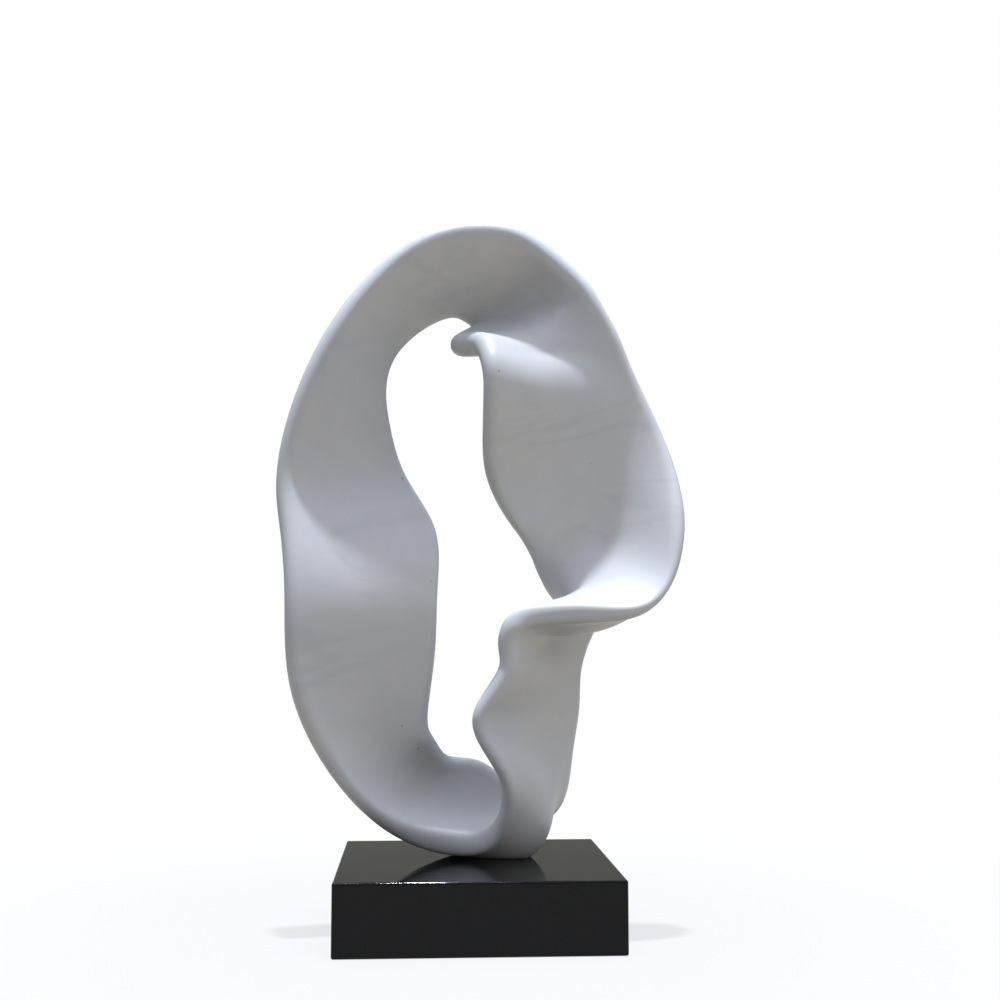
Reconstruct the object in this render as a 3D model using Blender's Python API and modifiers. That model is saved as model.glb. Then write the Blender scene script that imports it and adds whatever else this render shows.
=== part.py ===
"""Abstract marble sculpture: a broad twisting ribbon closed into a ring, on a granite plinth.

Metres, +Z up. The front faces -Y and the origin is the centre of the plinth's underside.
"""

import math

import bmesh
import bpy
import numpy as np

MM = 0.001

PLINTH_WIDTH = 300 * MM
PLINTH_DEPTH = 300 * MM
PLINTH_HEIGHT = 75 * MM
PLINTH_EDGE = 2.5 * MM
PLINTH_EDGE_STEPS = 3
SEAT_GAP = 0.3 * MM

SECTIONS = 120
SIDE_STEPS = 8
RIM_STEPS = 4

# The ribbon, in mm. Its thickness runs from the inner rim's radius through the half thickness in
# the middle to the outer rim's radius, which each station gives.
INNER_RADIUS = 11
BEAK_EXTRA = 3  # how much thicker the inner rim is where it turns under the crown as a blunt beak
BEAK_REACH = 80
TOE_EXTRA = 7  # how much thicker it is where it turns from the right limb into the keel
TOE_REACH = 90
MIDDLE_HALF = 13
ROUND = 4 / 3  # length, in radii, of the handles that bend a cubic curve into a half circle

# The back swells into a heavy keel that stands on the plinth, and into a fillet under the ledge,
# which is fullest nearer the outer rim. Each swell is greatest this far past its station and dies
# away over its reach to either side.
KEEL_MIDDLE_SWELL = 38
KEEL_MIDDLE_LEAN = -2
KEEL_MIDDLE_REACH = 150
KEEL_RIM_SWELL = 16
KEEL_RIM_LEAN = -5
KEEL_RIM_REACH = 120
LEDGE_MIDDLE_SWELL = 19
LEDGE_MIDDLE_LEAN = 10
LEDGE_MIDDLE_REACH = 145
LEDGE_RIM_SWELL = 13
LEDGE_RIM_LEAN = -20
LEDGE_RIM_REACH = 110

# The places where the ribbon turns, in mm, from the crown down the left limb, through the keel, up
# the right limb, over the ledge, round the bowl and back under the crown. Each holds the centres of
# the outer and inner rims, the outer rim's radius, and how far the middle bows to the back.
STATIONS = [
    ("crown",         (   0,  -5, 788), ( -28,  45, 711), 15, -8),
    ("left shoulder", (-110,  -5, 732), ( -96,  32, 663), 16, -3),
    ("left cheek",    (-190,  -2, 596), (-110,  30, 572), 16,  0),
    ("left waist",    (-212,   0, 500), ( -87,  37, 500), 15,  0),
    ("left shelf",    (-206, -15, 440), ( -57,  20, 444), 14,  3),
    ("left hip",      (-200, -32, 372), ( -54,  -3, 375), 13,  3),
    ("left thigh",    (-197, -33, 300), ( -57,  -3, 300), 13,  5),
    ("left shin",     (-169, -26, 206), ( -64,   3, 222), 12, 12),
    ("heel",          (-121, -17, 141), ( -52,  14, 196), 10, 16),
    ("sole",          ( -82, -12, 115), ( -36,  34, 177),  7, 17),
    ("keel",          ( -20, -11, 101), (   8,  50, 166),  6, 18),
    ("toe",           (  24, -27, 116), (  54,  45, 131),  6, 15),
    ("toe right",     (  34, -46, 152), (  80,  40, 131),  8,  6),
    ("ankle",         (  15, -56, 198), ( 101,  38, 186),  8,  1),
    ("chin",          (   4, -57, 236), ( 110,  33, 234),  9, -2),
    ("notch",         (  35, -56, 293), ( 114,  28, 290), 11,  0),
    ("lip",           (  31, -57, 318), ( 121,  30, 312),  9, -2),
    ("lip corner",    (  41, -62, 342), ( 128,  36, 326),  7, -4),
    ("ledge left",    (  73, -69, 351), ( 132,  43, 340),  5, -6),
    ("ledge",         ( 115, -77, 352), ( 117,  46, 357),  5, -6),
    ("ledge right",   ( 178, -73, 353), (  92,  36, 384),  5, -4),
    ("bowl low",      ( 212, -55, 388), (  73,  22, 420),  7, 12),
    ("bowl",          ( 223, -32, 448), (  47,   5, 455), 12, 21),
    ("bowl high",     ( 220, -13, 500), (  23, -14, 500), 12, 19),
    ("flank",         ( 205,   1, 553), (  17, -37, 548), 12, 14),
    ("brow",          ( 171,   0, 628), (  17, -50, 618), 12, 12),
    ("brow high",     ( 158,  -4, 657), (  15, -39, 638), 12, 17),
    ("beak root",     ( 148,  -6, 678), (   5, -17, 655), 12, 13),
    ("beak",          ( 138,  -8, 695), ( -14,  -2, 657), 12, 14),
    ("beak back",     ( 123,  -8, 721), (  -6,  36, 674), 12, 20),
    ("niche",         (  98,  -7, 746), (   8,  57, 692), 13, 16),
    ("crown right",   (  46,  -5, 782), ( -10,  52, 709), 15, -4),
]


def spline_bends(knots, gaps):
    """Second derivatives at the knots of the smooth closed curve through them."""
    n = len(knots)
    ahead = np.roll(knots, -1, axis=0) - knots
    matrix = np.zeros((n, n))
    target = np.zeros_like(knots)
    for i in range(n):
        before = gaps[i - 1]
        after = gaps[i]
        matrix[i, i - 1] += before
        matrix[i, i] += 2 * (before + after)
        matrix[i, (i + 1) % n] += after
        target[i] = 6 * (ahead[i] / after - ahead[i - 1] / before)
    return np.linalg.solve(matrix, target)


def closed_spline(knots, gaps, at):
    """Points of the smooth closed curve through the knots, which lie gaps apart, at these lengths."""
    n = len(knots)
    bends = spline_bends(knots, gaps)
    starts = np.concatenate([[0], np.cumsum(gaps)])
    i = np.searchsorted(starts, at, side="right") - 1
    j = (i + 1) % n
    gap = gaps[i][:, None]
    b = (at - starts[i])[:, None] / gap
    a = 1 - b
    curve = (a**3 - a) * bends[i] + (b**3 - b) * bends[j]
    return a * knots[i] + b * knots[j] + curve * gap**2 / 6


def unit(vectors):
    return vectors / np.linalg.norm(vectors, axis=-1, keepdims=True)


def onward(points):
    """The way along the ring at each of its points."""
    return np.roll(points, -1, axis=0) - np.roll(points, 1, axis=0)


def through_three(inner, middle, outer, share):
    """The parabola through an inner, a middle and an outer value, at shares of the way across."""
    return (
        (1 - share) * (1 - 2 * share) * inner
        + 4 * share * (1 - share) * middle
        + share * (2 * share - 1) * outer
    )


def between(start, after_start, before_end, end, t):
    """The cubic Bezier curve from start to end."""
    return (
        (1 - t) ** 3 * start
        + 3 * t * (1 - t) ** 2 * after_start
        + 3 * t**2 * (1 - t) * before_end
        + t**3 * end
    )


def hump(at, centre, reach):
    """1 at the centre, easing away to 0 at this reach on either side."""
    away = np.clip(np.abs(at - centre) / reach, 0, 1)
    return np.cos(away * math.pi / 2)[:, None, None] ** 2


def back_swell(at, places, share):
    """How much thicker the back is than the front, at shares of the way across."""
    keel = hump(at, places["keel"] + KEEL_MIDDLE_LEAN, KEEL_MIDDLE_REACH)
    ledge = hump(at, places["ledge"] + LEDGE_MIDDLE_LEAN, LEDGE_MIDDLE_REACH)
    keel_rim = hump(at, places["keel"] + KEEL_RIM_LEAN, KEEL_RIM_REACH)
    ledge_rim = hump(at, places["ledge"] + LEDGE_RIM_LEAN, LEDGE_RIM_REACH)
    rim = np.where(share > 0.5, KEEL_RIM_SWELL * keel_rim + LEDGE_RIM_SWELL * ledge_rim, 0)
    return (
        KEEL_MIDDLE_SWELL * keel * np.sin(math.pi * share) ** 2
        + LEDGE_MIDDLE_SWELL * ledge * np.sin(math.pi * share**2) ** 2
        + rim * np.cos(math.pi * share) ** 2
    )


def ribbon_points(sections, side_steps, rim_steps):
    """The ribbon's skin as rings of points, one ring for each section."""
    table = np.array([(*outer, *inner, radius, bow) for _, outer, inner, radius, bow in STATIONS], float)
    steps = (np.roll(table, -1, axis=0) - table)[:, :6].reshape(-1, 2, 3)
    gaps = np.linalg.norm(steps, axis=2).mean(axis=1)
    places = {row[0]: place for row, place in zip(STATIONS, np.cumsum(gaps) - gaps)}
    at = np.arange(sections) * gaps.sum() / sections
    smooth = closed_spline(table, gaps, at)[:, None]
    outer, inner, outer_radius, bow = np.split(smooth, [3, 6, 7], axis=2)
    share = np.linspace(0, 1, side_steps + 1)[None, :, None]
    straight = inner + share * (outer - inner)
    facing = unit(np.cross(outer - inner, onward(outer + inner)))
    sheet = straight - 4 * share * (1 - share) * bow * facing
    beak = BEAK_EXTRA * hump(at, places["beak root"], BEAK_REACH)
    toe = TOE_EXTRA * hump(at, places["toe right"], TOE_REACH)
    inner_radius = INNER_RADIUS + beak + toe
    half = through_three(inner_radius, MIDDLE_HALF, outer_radius, share)
    across = np.gradient(sheet, axis=1)
    front = unit(np.cross(across, onward(sheet)))
    front_side = sheet + half * front
    back_side = sheet - (half + back_swell(at, places, share)) * front
    turn = np.linspace(0, math.pi, rim_steps + 1)[1:-1][None, :, None]
    handle = ROUND * outer_radius
    outer_rim = between(
        front_side[:, -1:],
        front_side[:, -1:] + handle * unit(front_side[:, -1:] - front_side[:, -2:-1]),
        back_side[:, -1:] + handle * unit(back_side[:, -1:] - back_side[:, -2:-1]),
        back_side[:, -1:],
        turn / math.pi,
    )
    outward = unit(across[:, :1])
    inner_rim = sheet[:, :1] - inner_radius * (np.cos(turn) * front[:, :1] + np.sin(turn) * outward)
    return np.concatenate([front_side, outer_rim, back_side[:, ::-1], inner_rim], axis=1)


def ring_mesh(name, rings):
    """A closed tube of quads through rings of points, whose last ring meets the first."""
    n, k = rings.shape[:2]
    corners = [
        (i * k + j, (i + 1) % n * k + j, (i + 1) % n * k + (j + 1) % k, i * k + (j + 1) % k)
        for i in range(n)
        for j in range(k)
    ]
    mesh = bpy.data.meshes.new(name)
    mesh.from_pydata((rings * MM).reshape(-1, 3).tolist(), [], corners)
    return mesh


def cut_flat(mesh, height):
    """Cuts the mesh flat at this height, keeping what is above, and closes the cut."""
    bm = bmesh.new()
    bm.from_mesh(mesh)
    cut = bmesh.ops.bisect_plane(
        bm,
        geom=bm.verts[:] + bm.edges[:] + bm.faces[:],
        plane_co=(0, 0, height),
        plane_no=(0, 0, -1),
        clear_outer=True,
    )
    edges = [e for e in cut["geom_cut"] if isinstance(e, bmesh.types.BMEdge)]
    if edges:
        bmesh.ops.contextual_create(bm, geom=edges)
    bmesh.ops.recalc_face_normals(bm, faces=bm.faces[:])
    bm.to_mesh(mesh)
    bm.free()


def material(name, colour, roughness):
    made = bpy.data.materials.new(name)
    made.use_nodes = True
    shader = made.node_tree.nodes["Principled BSDF"]
    shader.inputs["Base Color"].default_value = (*colour, 1)
    shader.inputs["Roughness"].default_value = roughness
    return made


def add_part(name, mesh, finish, collection):
    made = bpy.data.objects.new(name, mesh)
    mesh.materials.append(finish)
    collection.objects.link(made)
    return made


def make_ribbon(collection):
    mesh = ring_mesh("ribbon", ribbon_points(SECTIONS, SIDE_STEPS, RIM_STEPS))
    cut_flat(mesh, PLINTH_HEIGHT + SEAT_GAP)
    mesh.shade_smooth()
    return add_part("ribbon", mesh, material("marble", (0.62, 0.62, 0.62), 0.45), collection)


def make_plinth(collection):
    mesh = bpy.data.meshes.new("plinth")
    bm = bmesh.new()
    bmesh.ops.create_cube(bm, size=1)
    bmesh.ops.scale(bm, vec=(PLINTH_WIDTH, PLINTH_DEPTH, PLINTH_HEIGHT), verts=bm.verts[:])
    bm.to_mesh(mesh)
    bm.free()
    plinth = add_part("plinth", mesh, material("granite", (0.02, 0.02, 0.022), 0.08), collection)
    plinth.location.z = PLINTH_HEIGHT / 2
    bevel = plinth.modifiers.new("edges", "BEVEL")
    bevel.width = PLINTH_EDGE
    bevel.segments = PLINTH_EDGE_STEPS
    return plinth


def main():
    for old in list(bpy.data.objects):
        bpy.data.objects.remove(old)
    collection = bpy.data.collections.new("ribbon_sculpture")
    bpy.context.scene.collection.children.link(collection)
    make_plinth(collection)
    make_ribbon(collection)


main()
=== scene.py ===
"""Looks of the marble ribbon sculpture: the carved ribbon at full smoothness, its polished plinth,
their two kinds of stone, and a plain pale stage under an overhead lamp and a weak side light.

Metres, +Z up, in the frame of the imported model.
"""

import math

import bmesh
import bpy
import numpy as np
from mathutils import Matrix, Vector, noise


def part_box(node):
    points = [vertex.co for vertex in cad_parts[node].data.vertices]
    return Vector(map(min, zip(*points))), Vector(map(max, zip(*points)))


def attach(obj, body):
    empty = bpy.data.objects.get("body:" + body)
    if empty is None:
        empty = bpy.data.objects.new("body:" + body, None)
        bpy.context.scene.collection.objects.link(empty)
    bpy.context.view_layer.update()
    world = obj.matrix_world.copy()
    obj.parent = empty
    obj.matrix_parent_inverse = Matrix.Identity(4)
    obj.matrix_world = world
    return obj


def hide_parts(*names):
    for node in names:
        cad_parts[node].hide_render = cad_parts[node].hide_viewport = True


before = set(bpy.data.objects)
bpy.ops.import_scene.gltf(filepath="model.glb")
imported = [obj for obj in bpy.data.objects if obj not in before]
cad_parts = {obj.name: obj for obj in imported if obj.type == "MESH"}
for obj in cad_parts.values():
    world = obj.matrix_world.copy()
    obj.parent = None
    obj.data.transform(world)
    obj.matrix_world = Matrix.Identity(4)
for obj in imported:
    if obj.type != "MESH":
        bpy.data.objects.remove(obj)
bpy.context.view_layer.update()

MM = 0.001

SEAT_GAP = 0.3 * MM
PLINTH_LOW, PLINTH_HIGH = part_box("plinth")
PLINTH_HEIGHT = PLINTH_HIGH.z
PLINTH_EDGE = 2.5 * MM
PLINTH_EDGE_STEPS = 8

SECTIONS = 640
SIDE_STEPS = 40
RIM_STEPS = 8

# The hand-finished surface wanders by this much over waves of this length.
WANDER = 0.12 * MM
WANDER_LENGTH = 45 * MM
SEAT_MARGIN = 5 * MM

CAMERA_PLACE = (-0.064, -1.581, 0.316)
CAMERA_PITCH = 5.82  # degrees above the horizon
CAMERA_TURN = -3.33  # degrees about +Z
CAMERA_LENS = 50  # mm, on a sensor 36 mm wide

LAMP_AIM = (0, 0, 1)  # from the work towards the lamp
LAMP_SIZE = 2.5  # degrees across, as seen from the work
LAMP_POWER = 4.3
LAMP_COLOUR = (0.8, 0.87, 1.0)

FILL_PLACE = (1.6, -1.1, 0.5)  # a weak soft light, low on the right
FILL_SIZE = 1.2
FILL_WATTS = 6
FILL_COLOUR = (1.0, 0.97, 0.9)

# The soft light of the room, by height of view, from -1 straight below the work to 1 straight above
# it: a pale warm floor, dim walls with a pale strip low down, and a broad cool ceiling.
ROOM = (
    (-1.0, (0.57, 0.53, 0.45)),
    (-0.1, (0.07, 0.07, 0.07)),
    (0.1, (0.23, 0.23, 0.215)),
    (0.2, (0.23, 0.23, 0.215)),
    (0.27, (0.07, 0.07, 0.07)),
    (0.36, (0.08, 0.08, 0.09)),
    (0.5, (0.80, 0.86, 1.05)),
    (1.0, (1.3, 1.38, 1.65)),
)

BACKDROP = 1.0
FLOOR_RADIUS = 2.5
FLOOR_CORNERS = 96
FLOOR_NEAR = 0.27  # metres from the middle at which the floor starts to turn into the backdrop
FLOOR_CLEAR = 0.9  # and at which it has turned into it
FLOOR_TONE = 0.12
FLOOR_GLOW = 0.72

# The marble. Every SCALE is about how many patches there are to a metre. EDGES are the noise values
# at which a patch starts and is full, and a SHARE is how far it takes the colour to its own tone.
FULL_EDGES = (0.3, 0.7)  # nearly all of a noise lies between these
COOL_TONE = (0.604, 0.612, 0.622, 1)
WARM_TONE = (0.652, 0.645, 0.622, 1)
CLOUD_SCALE = 6
CLOUD_EDGES = (0.32, 0.68)
PATCH_TONE = (0.560, 0.572, 0.585, 1)
PATCH_SCALE = 34
PATCH_SHARE = 0.35
VEIN_TONE = (0.44, 0.455, 0.47, 1)
VEIN_SCALE = 3.2
VEIN_SQUEEZE = (1, 1, 2.2)
VEIN_TURN = (0.5, 0.3, 0.9)  # radians
VEIN_HEART = 0.5  # the noise value along the middle of a vein
VEIN_WIDTH = 0.045  # how far from it the noise value is at a vein's edges
VEIN_SHARE = 0.22
VEIN_BREAK_SCALE = 5
VEIN_BREAK_EDGES = (0.4, 0.65)
GRAIN_TONE = (0.80, 0.80, 0.79, 1)
GRAIN_SCALE = 620
GRAIN_SHARE = 0.10
SPECK_TONE = (0.16, 0.155, 0.15, 1)
SPECK_SCALE = 26
SPECK_RADIUS = 2.3 * MM
SPECK_CORE = 0.35  # the share of a speck's radius within which it is full
SPECK_SHARE = 0.55
SPECK_GROUP_SCALE = 19
SPECK_GROUP_EDGES = (0.42, 0.55)
HONED_SCALE = 55
HONED_ROUGHNESS = (0.36, 0.44)
GRAIN_ROUGHNESS = 0.04  # the most that the grain adds
TOOLED_SCALE = 85
TOOLED_DEPTH = 0.25 * MM
TOOLED_STRENGTH = 0.18
GRAIN_DEPTH = 0.05 * MM
GRAIN_STRENGTH = 0.35

# The granite. Each crystal is drawn at random, and only those drawn within the edges carry a fleck.
CRYSTAL_SCALE = 900
DARK_CRYSTAL = (0.0015, 0.0016, 0.0018, 1)
PALE_CRYSTAL = (0.003, 0.0031, 0.0033, 1)
FLECK_TONE = (0.015, 0.015, 0.015, 1)
FLECK_EDGES = (0.93, 0.97)
FLECK_SHARE = 0.4
POLISH_SCALE = 11
POLISH_EDGES = (0.35, 0.7)
POLISH_ROUGHNESS = (0.045, 0.10)
POLISH_SHINE = 0.18  # the shader's specular level, which is 0.5 for glass
RIPPLE_SCALE = 26
RIPPLE_DEPTH = 0.05 * MM
RIPPLE_STRENGTH = 0.25

# The ribbon, in mm. Its thickness runs from the inner rim's radius through the half thickness in
# the middle to the outer rim's radius, which each station gives.
INNER_RADIUS = 11
BEAK_EXTRA = 3  # how much thicker the inner rim is where it turns under the crown as a blunt beak
BEAK_REACH = 80
TOE_EXTRA = 7  # how much thicker it is where it turns from the right limb into the keel
TOE_REACH = 90
MIDDLE_HALF = 13
ROUND = 4 / 3  # length, in radii, of the handles that bend a cubic curve into a half circle

# The back swells into a heavy keel that stands on the plinth, and into a fillet under the ledge,
# which is fullest nearer the outer rim. Each swell is greatest this far past its station and dies
# away over its reach to either side.
KEEL_MIDDLE_SWELL = 38
KEEL_MIDDLE_LEAN = -2
KEEL_MIDDLE_REACH = 150
KEEL_RIM_SWELL = 16
KEEL_RIM_LEAN = -5
KEEL_RIM_REACH = 120
LEDGE_MIDDLE_SWELL = 19
LEDGE_MIDDLE_LEAN = 10
LEDGE_MIDDLE_REACH = 145
LEDGE_RIM_SWELL = 13
LEDGE_RIM_LEAN = -20
LEDGE_RIM_REACH = 110

# The places where the ribbon turns, in mm, from the crown down the left limb, through the keel, up
# the right limb, over the ledge, round the bowl and back under the crown. Each holds the centres of
# the outer and inner rims, the outer rim's radius, and how far the middle bows to the back.
STATIONS = [
    ("crown",         (   0,  -5, 788), ( -28,  45, 711), 15, -8),
    ("left shoulder", (-110,  -5, 732), ( -96,  32, 663), 16, -3),
    ("left cheek",    (-190,  -2, 596), (-110,  30, 572), 16,  0),
    ("left waist",    (-212,   0, 500), ( -87,  37, 500), 15,  0),
    ("left shelf",    (-206, -15, 440), ( -57,  20, 444), 14,  3),
    ("left hip",      (-200, -32, 372), ( -54,  -3, 375), 13,  3),
    ("left thigh",    (-197, -33, 300), ( -57,  -3, 300), 13,  5),
    ("left shin",     (-169, -26, 206), ( -64,   3, 222), 12, 12),
    ("heel",          (-121, -17, 141), ( -52,  14, 196), 10, 16),
    ("sole",          ( -82, -12, 115), ( -36,  34, 177),  7, 17),
    ("keel",          ( -20, -11, 101), (   8,  50, 166),  6, 18),
    ("toe",           (  24, -27, 116), (  54,  45, 131),  6, 15),
    ("toe right",     (  34, -46, 152), (  80,  40, 131),  8,  6),
    ("ankle",         (  15, -56, 198), ( 101,  38, 186),  8,  1),
    ("chin",          (   4, -57, 236), ( 110,  33, 234),  9, -2),
    ("notch",         (  35, -56, 293), ( 114,  28, 290), 11,  0),
    ("lip",           (  31, -57, 318), ( 121,  30, 312),  9, -2),
    ("lip corner",    (  41, -62, 342), ( 128,  36, 326),  7, -4),
    ("ledge left",    (  73, -69, 351), ( 132,  43, 340),  5, -6),
    ("ledge",         ( 115, -77, 352), ( 117,  46, 357),  5, -6),
    ("ledge right",   ( 178, -73, 353), (  92,  36, 384),  5, -4),
    ("bowl low",      ( 212, -55, 388), (  73,  22, 420),  7, 12),
    ("bowl",          ( 223, -32, 448), (  47,   5, 455), 12, 21),
    ("bowl high",     ( 220, -13, 500), (  23, -14, 500), 12, 19),
    ("flank",         ( 205,   1, 553), (  17, -37, 548), 12, 14),
    ("brow",          ( 171,   0, 628), (  17, -50, 618), 12, 12),
    ("brow high",     ( 158,  -4, 657), (  15, -39, 638), 12, 17),
    ("beak root",     ( 148,  -6, 678), (   5, -17, 655), 12, 13),
    ("beak",          ( 138,  -8, 695), ( -14,  -2, 657), 12, 14),
    ("beak back",     ( 123,  -8, 721), (  -6,  36, 674), 12, 20),
    ("niche",         (  98,  -7, 746), (   8,  57, 692), 13, 16),
    ("crown right",   (  46,  -5, 782), ( -10,  52, 709), 15, -4),
]


def spline_bends(knots, gaps):
    """Second derivatives at the knots of the smooth closed curve through them."""
    n = len(knots)
    ahead = np.roll(knots, -1, axis=0) - knots
    matrix = np.zeros((n, n))
    target = np.zeros_like(knots)
    for i in range(n):
        before = gaps[i - 1]
        after = gaps[i]
        matrix[i, i - 1] += before
        matrix[i, i] += 2 * (before + after)
        matrix[i, (i + 1) % n] += after
        target[i] = 6 * (ahead[i] / after - ahead[i - 1] / before)
    return np.linalg.solve(matrix, target)


def closed_spline(knots, gaps, at):
    """Points of the smooth closed curve through the knots, which lie gaps apart, at these lengths."""
    n = len(knots)
    bends = spline_bends(knots, gaps)
    starts = np.concatenate([[0], np.cumsum(gaps)])
    i = np.searchsorted(starts, at, side="right") - 1
    j = (i + 1) % n
    gap = gaps[i][:, None]
    b = (at - starts[i])[:, None] / gap
    a = 1 - b
    curve = (a**3 - a) * bends[i] + (b**3 - b) * bends[j]
    return a * knots[i] + b * knots[j] + curve * gap**2 / 6


def unit(vectors):
    return vectors / np.linalg.norm(vectors, axis=-1, keepdims=True)


def onward(points):
    """The way along the ring at each of its points."""
    return np.roll(points, -1, axis=0) - np.roll(points, 1, axis=0)


def through_three(inner, middle, outer, share):
    """The parabola through an inner, a middle and an outer value, at shares of the way across."""
    return (
        (1 - share) * (1 - 2 * share) * inner
        + 4 * share * (1 - share) * middle
        + share * (2 * share - 1) * outer
    )


def between(start, after_start, before_end, end, t):
    """The cubic Bezier curve from start to end."""
    return (
        (1 - t) ** 3 * start
        + 3 * t * (1 - t) ** 2 * after_start
        + 3 * t**2 * (1 - t) * before_end
        + t**3 * end
    )


def hump(at, centre, reach):
    """1 at the centre, easing away to 0 at this reach on either side."""
    away = np.clip(np.abs(at - centre) / reach, 0, 1)
    return np.cos(away * math.pi / 2)[:, None, None] ** 2


def back_swell(at, places, share):
    """How much thicker the back is than the front, at shares of the way across."""
    keel = hump(at, places["keel"] + KEEL_MIDDLE_LEAN, KEEL_MIDDLE_REACH)
    ledge = hump(at, places["ledge"] + LEDGE_MIDDLE_LEAN, LEDGE_MIDDLE_REACH)
    keel_rim = hump(at, places["keel"] + KEEL_RIM_LEAN, KEEL_RIM_REACH)
    ledge_rim = hump(at, places["ledge"] + LEDGE_RIM_LEAN, LEDGE_RIM_REACH)
    rim = np.where(share > 0.5, KEEL_RIM_SWELL * keel_rim + LEDGE_RIM_SWELL * ledge_rim, 0)
    return (
        KEEL_MIDDLE_SWELL * keel * np.sin(math.pi * share) ** 2
        + LEDGE_MIDDLE_SWELL * ledge * np.sin(math.pi * share**2) ** 2
        + rim * np.cos(math.pi * share) ** 2
    )


def ribbon_points(sections, side_steps, rim_steps):
    """The ribbon's skin as rings of points, one ring for each section."""
    table = np.array([(*outer, *inner, radius, bow) for _, outer, inner, radius, bow in STATIONS], float)
    steps = (np.roll(table, -1, axis=0) - table)[:, :6].reshape(-1, 2, 3)
    gaps = np.linalg.norm(steps, axis=2).mean(axis=1)
    places = {row[0]: place for row, place in zip(STATIONS, np.cumsum(gaps) - gaps)}
    at = np.arange(sections) * gaps.sum() / sections
    smooth = closed_spline(table, gaps, at)[:, None]
    outer, inner, outer_radius, bow = np.split(smooth, [3, 6, 7], axis=2)
    share = np.linspace(0, 1, side_steps + 1)[None, :, None]
    straight = inner + share * (outer - inner)
    facing = unit(np.cross(outer - inner, onward(outer + inner)))
    sheet = straight - 4 * share * (1 - share) * bow * facing
    beak = BEAK_EXTRA * hump(at, places["beak root"], BEAK_REACH)
    toe = TOE_EXTRA * hump(at, places["toe right"], TOE_REACH)
    inner_radius = INNER_RADIUS + beak + toe
    half = through_three(inner_radius, MIDDLE_HALF, outer_radius, share)
    across = np.gradient(sheet, axis=1)
    front = unit(np.cross(across, onward(sheet)))
    front_side = sheet + half * front
    back_side = sheet - (half + back_swell(at, places, share)) * front
    turn = np.linspace(0, math.pi, rim_steps + 1)[1:-1][None, :, None]
    handle = ROUND * outer_radius
    outer_rim = between(
        front_side[:, -1:],
        front_side[:, -1:] + handle * unit(front_side[:, -1:] - front_side[:, -2:-1]),
        back_side[:, -1:] + handle * unit(back_side[:, -1:] - back_side[:, -2:-1]),
        back_side[:, -1:],
        turn / math.pi,
    )
    outward = unit(across[:, :1])
    inner_rim = sheet[:, :1] - inner_radius * (np.cos(turn) * front[:, :1] + np.sin(turn) * outward)
    return np.concatenate([front_side, outer_rim, back_side[:, ::-1], inner_rim], axis=1)


def ring_mesh(name, rings):
    """A closed tube of quads through rings of points, whose last ring meets the first."""
    n, k = rings.shape[:2]
    corners = [
        (i * k + j, (i + 1) % n * k + j, (i + 1) % n * k + (j + 1) % k, i * k + (j + 1) % k)
        for i in range(n)
        for j in range(k)
    ]
    mesh = bpy.data.meshes.new(name)
    mesh.from_pydata((rings * MM).reshape(-1, 3).tolist(), [], corners)
    return mesh


def cut_flat(mesh, height):
    """Cuts the mesh flat at this height, keeping what is above, and closes the cut."""
    bm = bmesh.new()
    bm.from_mesh(mesh)
    cut = bmesh.ops.bisect_plane(
        bm,
        geom=bm.verts[:] + bm.edges[:] + bm.faces[:],
        plane_co=(0, 0, height),
        plane_no=(0, 0, -1),
        clear_outer=True,
    )
    edges = [e for e in cut["geom_cut"] if isinstance(e, bmesh.types.BMEdge)]
    if edges:
        bmesh.ops.contextual_create(bm, geom=edges)
    bmesh.ops.recalc_face_normals(bm, faces=bm.faces[:])
    bm.to_mesh(mesh)
    bm.free()


def grey(level):
    """An even grey of this brightness."""
    return (level, level, level, 1)


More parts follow.
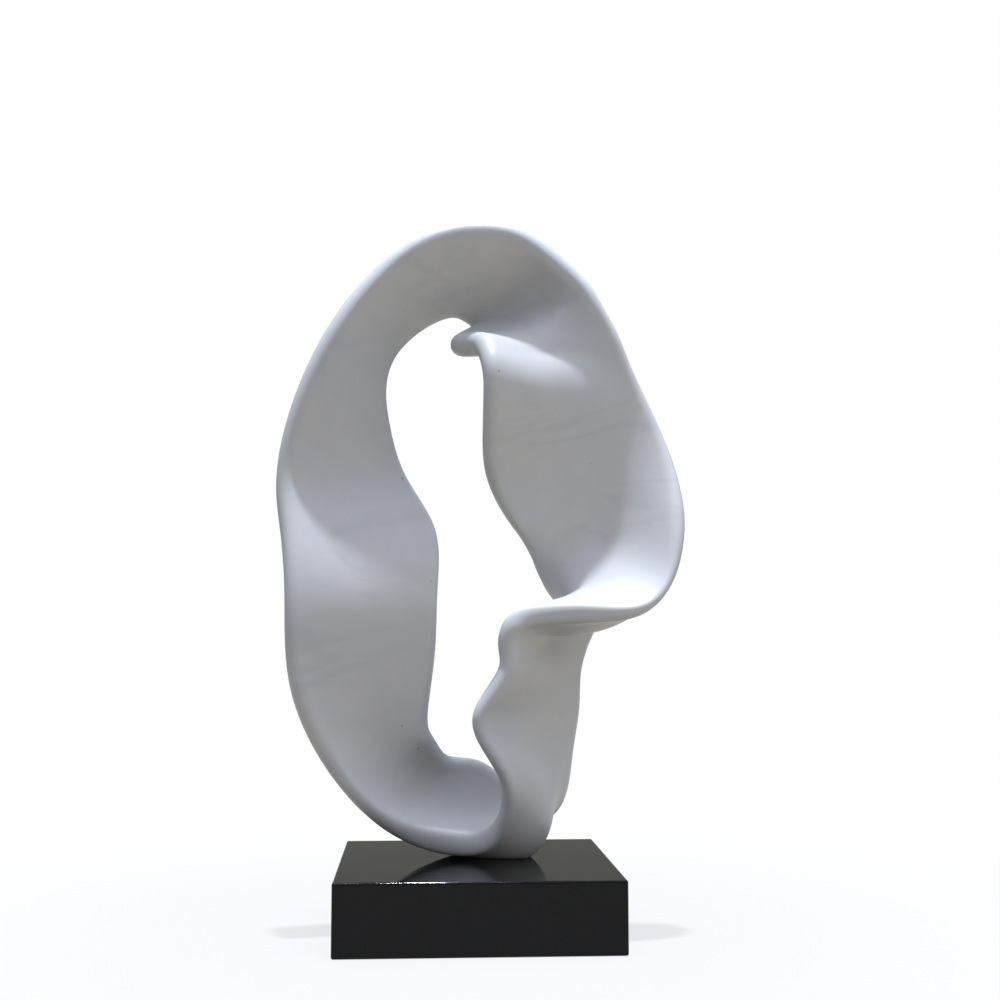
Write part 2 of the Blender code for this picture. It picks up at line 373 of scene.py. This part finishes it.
class Nodes:
    """A material's nodes, with short calls that add them and link their sockets."""

    def __init__(self, name):
        self.material = bpy.data.materials.new(name)
        self.material.use_nodes = True
        self.tree = self.material.node_tree
        self.shader = self.tree.nodes["Principled BSDF"]
        self.place = self.add("ShaderNodeTexCoord").outputs["Object"]

    def add(self, kind, **settings):
        made = self.tree.nodes.new(kind)
        for key, value in settings.items():
            setattr(made, key, value)
        return made

    def put(self, socket, value):
        if isinstance(value, bpy.types.NodeSocket):
            self.tree.links.new(value, socket)
        else:
            socket.default_value = value

    def noise(self, scale, detail=2.0, distortion=0.0, squeeze=None, turn=(0, 0, 0)):
        """Soft random patches, scale of them to a metre, and more along the axes they are squeezed."""
        made = self.add("ShaderNodeTexNoise")
        place = self.place
        if squeeze:
            mapped = self.add("ShaderNodeMapping")
            self.put(mapped.inputs["Vector"], place)
            mapped.inputs["Scale"].default_value = squeeze
            mapped.inputs["Rotation"].default_value = turn
            place = mapped.outputs["Vector"]
        self.put(made.inputs["Vector"], place)
        self.put(made.inputs["Scale"], scale)
        self.put(made.inputs["Detail"], detail)
        self.put(made.inputs["Distortion"], distortion)
        return made.outputs["Fac"]

    def math(self, operation, first, second=0.0):
        made = self.add("ShaderNodeMath", operation=operation)
        self.put(made.inputs[0], first)
        self.put(made.inputs[1], second)
        return made.outputs[0]

    def span(self, value, low, high, to_low=0, to_high=1):
        """value eased from the range low..high to to_low..to_high, and held there beyond both ends."""
        made = self.add("ShaderNodeMapRange", interpolation_type="SMOOTHSTEP")
        for socket, number in zip(made.inputs, (value, low, high, to_low, to_high)):
            self.put(socket, number)
        return made.outputs[0]

    def mix(self, share, first, second):
        """The colour share of the way from first to second."""
        made = self.add("ShaderNodeMix", data_type="RGBA")
        colours = [s for s in made.inputs if s.type == "RGBA"]
        self.put(made.inputs[0], share)
        self.put(colours[0], first)
        self.put(colours[1], second)
        return next(s for s in made.outputs if s.type == "RGBA")

    def cells(self, scale):
        """Random cells, about scale of them to a metre."""
        made = self.add("ShaderNodeTexVoronoi", feature="F1")
        self.put(made.inputs["Vector"], self.place)
        self.put(made.inputs["Scale"], scale)
        return made.outputs

    def spots(self, scale, radius, core):
        """1 in the core of round spots, one to a cell, fading to 0 at their radius."""
        reach = radius * scale
        return self.span(self.cells(scale)["Distance"], core * reach, reach, 1, 0)

    def bump(self, height, depth, strength, below=None):
        """The normal over a surface raised by height times depth, on top of the bump below."""
        made = self.add("ShaderNodeBump")
        self.put(made.inputs["Height"], height)
        self.put(made.inputs["Distance"], depth)
        self.put(made.inputs["Strength"], strength)
        if below:
            self.put(made.inputs["Normal"], below)
        return made.outputs["Normal"]


def marble_tone(n, grain):
    """Cool and warm clouds, greyer patches, faint broken veins, a fine grain and a few specks."""
    clouds = n.span(n.noise(CLOUD_SCALE, detail=3, distortion=0.4), *CLOUD_EDGES)
    tone = n.mix(clouds, COOL_TONE, WARM_TONE)
    patches = n.span(n.noise(PATCH_SCALE, detail=4, distortion=0.3), *FULL_EDGES)
    tone = n.mix(n.math("MULTIPLY", patches, PATCH_SHARE), tone, PATCH_TONE)
    folds = n.noise(VEIN_SCALE, detail=5, distortion=1.2, squeeze=VEIN_SQUEEZE, turn=VEIN_TURN)
    from_vein = n.math("ABSOLUTE", n.math("SUBTRACT", folds, VEIN_HEART))
    breaks = n.span(n.noise(VEIN_BREAK_SCALE, detail=1), *VEIN_BREAK_EDGES, 0, VEIN_SHARE)
    veins = n.math("MULTIPLY", n.span(from_vein, 0, VEIN_WIDTH, 1, 0), breaks)
    tone = n.mix(veins, tone, VEIN_TONE)
    tone = n.mix(n.span(grain, *FULL_EDGES, 0, GRAIN_SHARE), tone, GRAIN_TONE)
    groups = n.span(n.noise(SPECK_GROUP_SCALE, detail=1), *SPECK_GROUP_EDGES, 0, SPECK_SHARE)
    specks = n.math("MULTIPLY", n.spots(SPECK_SCALE, SPECK_RADIUS, SPECK_CORE), groups)
    return n.mix(specks, tone, SPECK_TONE)


def marble():
    """Honed pale grey-white marble."""
    n = Nodes("honed_marble")
    grain = n.noise(GRAIN_SCALE, detail=3)
    honed = n.span(n.noise(HONED_SCALE, detail=3), *FULL_EDGES, *HONED_ROUGHNESS)
    rough = n.math("ADD", honed, n.span(grain, *FULL_EDGES, 0, GRAIN_ROUGHNESS))
    tooled = n.bump(n.noise(TOOLED_SCALE), TOOLED_DEPTH, TOOLED_STRENGTH)
    n.put(n.shader.inputs["Base Color"], marble_tone(n, grain))
    n.put(n.shader.inputs["Roughness"], rough)
    n.put(n.shader.inputs["Normal"], n.bump(grain, GRAIN_DEPTH, GRAIN_STRENGTH, tooled))
    return n.material


def granite():
    """Polished black granite: near-black crystals, a few grey flecks, and a faintly uneven polish."""
    n = Nodes("polished_black_granite")
    crystal = n.add("ShaderNodeSeparateColor")
    n.put(crystal.inputs[0], n.cells(CRYSTAL_SCALE)["Color"])
    tone = n.mix(crystal.outputs[0], DARK_CRYSTAL, PALE_CRYSTAL)
    flecks = n.span(crystal.outputs[1], *FLECK_EDGES, 0, FLECK_SHARE)
    smears = n.noise(POLISH_SCALE, detail=4, distortion=0.8)
    n.put(n.shader.inputs["Base Color"], n.mix(flecks, tone, FLECK_TONE))
    n.put(n.shader.inputs["Roughness"], n.span(smears, *POLISH_EDGES, *POLISH_ROUGHNESS))
    n.shader.inputs["Specular IOR Level"].default_value = POLISH_SHINE
    n.put(n.shader.inputs["Normal"], n.bump(n.noise(RIPPLE_SCALE), RIPPLE_DEPTH, RIPPLE_STRENGTH))
    return n.material


def wander(mesh):
    """Moves the surface in and out by the little that hand rubbing leaves, all but the flat seat."""
    normals = [vertex.normal.copy() for vertex in mesh.vertices]
    for vertex, normal in zip(mesh.vertices, normals):
        if vertex.co.z > PLINTH_HEIGHT + SEAT_MARGIN:
            vertex.co += normal * noise.noise(vertex.co / WANDER_LENGTH) * WANDER


def add_piece(name, mesh, finish, node):
    """A visible piece that stands for a CAD node and moves with the work."""
    made = bpy.data.objects.new(name, mesh)
    bpy.context.scene.collection.objects.link(made)
    mesh.materials.append(finish)
    mesh.shade_smooth()
    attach(made, "root")
    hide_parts(node)
    return made


def make_ribbon():
    """The carving: the ribbon in fine steps, cut flat where it sits, with a hand-rubbed surface."""
    mesh = ring_mesh("ribbon_carving", ribbon_points(SECTIONS, SIDE_STEPS, RIM_STEPS))
    cut_flat(mesh, PLINTH_HEIGHT + SEAT_GAP)
    wander(mesh)
    add_piece("ribbon_carving", mesh, marble(), "ribbon")


def make_plinth():
    """The block, with arrises rounded finely enough to carry one unbroken line of light."""
    mesh = bpy.data.meshes.new("plinth_block")
    bm = bmesh.new()
    bmesh.ops.create_cube(bm, size=1)
    bmesh.ops.scale(bm, vec=PLINTH_HIGH - PLINTH_LOW, verts=bm.verts[:])
    bmesh.ops.translate(bm, vec=(PLINTH_HIGH + PLINTH_LOW) / 2, verts=bm.verts[:])
    bm.to_mesh(mesh)
    bm.free()
    plinth = add_piece("plinth_block", mesh, granite(), "plinth")
    bevel = plinth.modifiers.new("arrises", "BEVEL")
    bevel.width = PLINTH_EDGE
    bevel.segments = PLINTH_EDGE_STEPS
    plinth.modifiers.new("flat_faces", "WEIGHTED_NORMAL").keep_sharp = False


def make_floor():
    """A disc that takes soft shadows near the work and fades into the backdrop further out."""
    bm = bmesh.new()
    bmesh.ops.create_circle(bm, cap_ends=True, segments=FLOOR_CORNERS, radius=FLOOR_RADIUS)
    mesh = bpy.data.meshes.new("floor")
    bm.to_mesh(mesh)
    bm.free()
    floor = bpy.data.objects.new("floor", mesh)
    bpy.context.scene.collection.objects.link(floor)
    n = Nodes("floor")
    distance = n.add("ShaderNodeVectorMath", operation="LENGTH")
    n.put(distance.inputs[0], n.place)
    near = n.span(distance.outputs["Value"], FLOOR_NEAR, FLOOR_CLEAR, 1, 0)
    n.put(n.shader.inputs["Base Color"], n.mix(near, grey(0), grey(FLOOR_TONE)))
    n.put(n.shader.inputs["Emission Color"], n.mix(near, grey(BACKDROP), grey(FLOOR_GLOW)))
    n.shader.inputs["Emission Strength"].default_value = 1
    n.shader.inputs["Roughness"].default_value = 1
    n.shader.inputs["Specular IOR Level"].default_value = 0
    mesh.materials.append(n.material)
    floor.visible_diffuse = False


def make_room():
    """Ambient light by height, behind a backdrop that only the camera sees."""
    world = bpy.data.worlds.new("room")
    bpy.context.scene.world = world
    world.use_nodes = True
    tree = world.node_tree
    tree.nodes.clear()
    place = tree.nodes.new("ShaderNodeTexCoord")
    parts = tree.nodes.new("ShaderNodeSeparateXYZ")
    height = tree.nodes.new("ShaderNodeMapRange")
    height.inputs["From Min"].default_value = -1
    ramp = tree.nodes.new("ShaderNodeValToRGB")
    # The ramp runs from 0 to 1 and starts with a stop at each end.
    stops = ramp.color_ramp.elements
    stops[0].color = (*ROOM[0][1], 1)
    stops[-1].color = (*ROOM[-1][1], 1)
    for level, colour in ROOM[1:-1]:
        stops.new((level + 1) / 2).color = (*colour, 1)
    ambient = tree.nodes.new("ShaderNodeBackground")
    backdrop = tree.nodes.new("ShaderNodeBackground")
    backdrop.inputs["Color"].default_value = grey(BACKDROP)
    ray = tree.nodes.new("ShaderNodeLightPath")
    choice = tree.nodes.new("ShaderNodeMixShader")
    output = tree.nodes.new("ShaderNodeOutputWorld")
    link = tree.links.new
    link(place.outputs["Generated"], parts.inputs[0])
    link(parts.outputs["Z"], height.inputs["Value"])
    link(height.outputs["Result"], ramp.inputs["Fac"])
    link(ramp.outputs["Color"], ambient.inputs["Color"])
    link(ray.outputs["Is Camera Ray"], choice.inputs["Fac"])
    link(ambient.outputs[0], choice.inputs[1])
    link(backdrop.outputs[0], choice.inputs[2])
    link(choice.outputs[0], output.inputs["Surface"])


def make_lamp():
    """A small lamp straight overhead, which throws the crisp shadow lines."""
    data = bpy.data.lights.new("overhead_lamp", "SUN")
    data.energy = LAMP_POWER
    data.angle = math.radians(LAMP_SIZE)
    data.color = LAMP_COLOUR
    lamp = bpy.data.objects.new("overhead_lamp", data)
    lamp.rotation_mode = "QUATERNION"
    lamp.rotation_quaternion = Vector(LAMP_AIM).to_track_quat("Z", "Y")
    bpy.context.scene.collection.objects.link(lamp)


def make_fill():
    """A wide weak light that lifts the right limb and the underside of the ledge."""
    data = bpy.data.lights.new("side_fill", "AREA")
    data.size = FILL_SIZE
    data.energy = FILL_WATTS
    data.color = FILL_COLOUR
    fill = bpy.data.objects.new("side_fill", data)
    fill.location = FILL_PLACE
    fill.rotation_mode = "QUATERNION"
    fill.rotation_quaternion = Vector(FILL_PLACE).to_track_quat("Z", "Y")
    fill.visible_glossy = False
    bpy.context.scene.collection.objects.link(fill)


def make_camera():
    data = bpy.data.cameras.new("camera")
    data.lens = CAMERA_LENS
    camera = bpy.data.objects.new("camera", data)
    camera.location = CAMERA_PLACE
    camera.rotation_euler = (math.radians(90 + CAMERA_PITCH), 0, math.radians(CAMERA_TURN))
    bpy.context.scene.collection.objects.link(camera)
    bpy.context.scene.camera = camera


make_ribbon()
make_plinth()
make_floor()
make_room()
make_lamp()
make_fill()
make_camera()
bpy.context.scene.view_settings.view_transform = "Standard"
